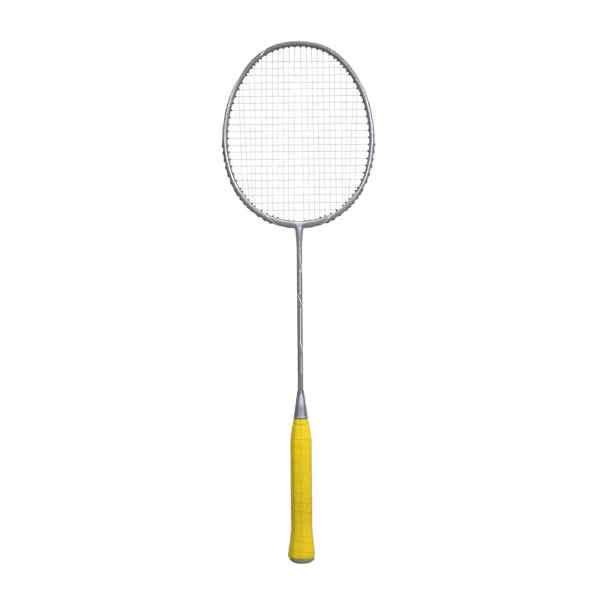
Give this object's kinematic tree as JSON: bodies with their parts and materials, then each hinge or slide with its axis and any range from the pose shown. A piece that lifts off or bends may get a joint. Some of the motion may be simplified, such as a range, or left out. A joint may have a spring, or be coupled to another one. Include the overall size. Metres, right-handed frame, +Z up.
{
  "type": "badminton racket",
  "caption": "Strung badminton racket with a square-shouldered oval head, slim round shaft, conical cap and a helically wrapped eight-sided handle.",
  "frame": {"origin": "middle of the flat butt face, under the shaft's axis", "axes": "+Z up along the shaft towards the head, X across the head, Y square to the string bed"},
  "size_m": [0.1979, 0.035, 0.6761],
  "materials": {
    "frame_paint": "metallic lacquer over carbon, satin to gloss",
    "shaft_paint": "gloss lacquer over carbon",
    "alloy": "plain machined",
    "cone_plastic": "satin moulded plastic",
    "yellow_grip": "soft tacky polyurethane tape, matte",
    "yellow_tape": "thin stretched tape, satin",
    "staple_wire": "galvanised wire",
    "base_grip_foam": "matte foam-backed polyurethane",
    "handle_wood": "bare sanded wood",
    "cap_plastic": "satin moulded plastic",
    "grommet_nylon": "moulded nylon",
    "string_nylon": "translucent multifilament nylon, lightly glossy"
  },
  "bodies": {
    "root": {"frame_hoop": "frame_paint", "t_joint": "alloy", "shaft": "shaft_paint", "cone_cap": "cone_plastic", "overgrip": "yellow_grip", "finishing_tape": "yellow_tape", "grip_staple": "staple_wire", "base_grip": "base_grip_foam", "handle_core": "handle_wood", "butt_cap": "cap_plastic", "grommets_right_1": "grommet_nylon", "grommets_left_1": "grommet_nylon", "grommets_right_2": "grommet_nylon", "grommets_left_2": "grommet_nylon", "grommets_right_3": "grommet_nylon", "grommets_left_3": "grommet_nylon", "grommets_right_4": "grommet_nylon", "grommets_left_4": "grommet_nylon", "grommets_right_5": "grommet_nylon", "grommets_left_5": "grommet_nylon", "grommets_right_6": "grommet_nylon", "grommets_left_6": "grommet_nylon", "grommets_right_7": "grommet_nylon", "grommets_left_7": "grommet_nylon", "main_string": "string_nylon", "cross_string": "string_nylon"}
  },
  "joints": []
}
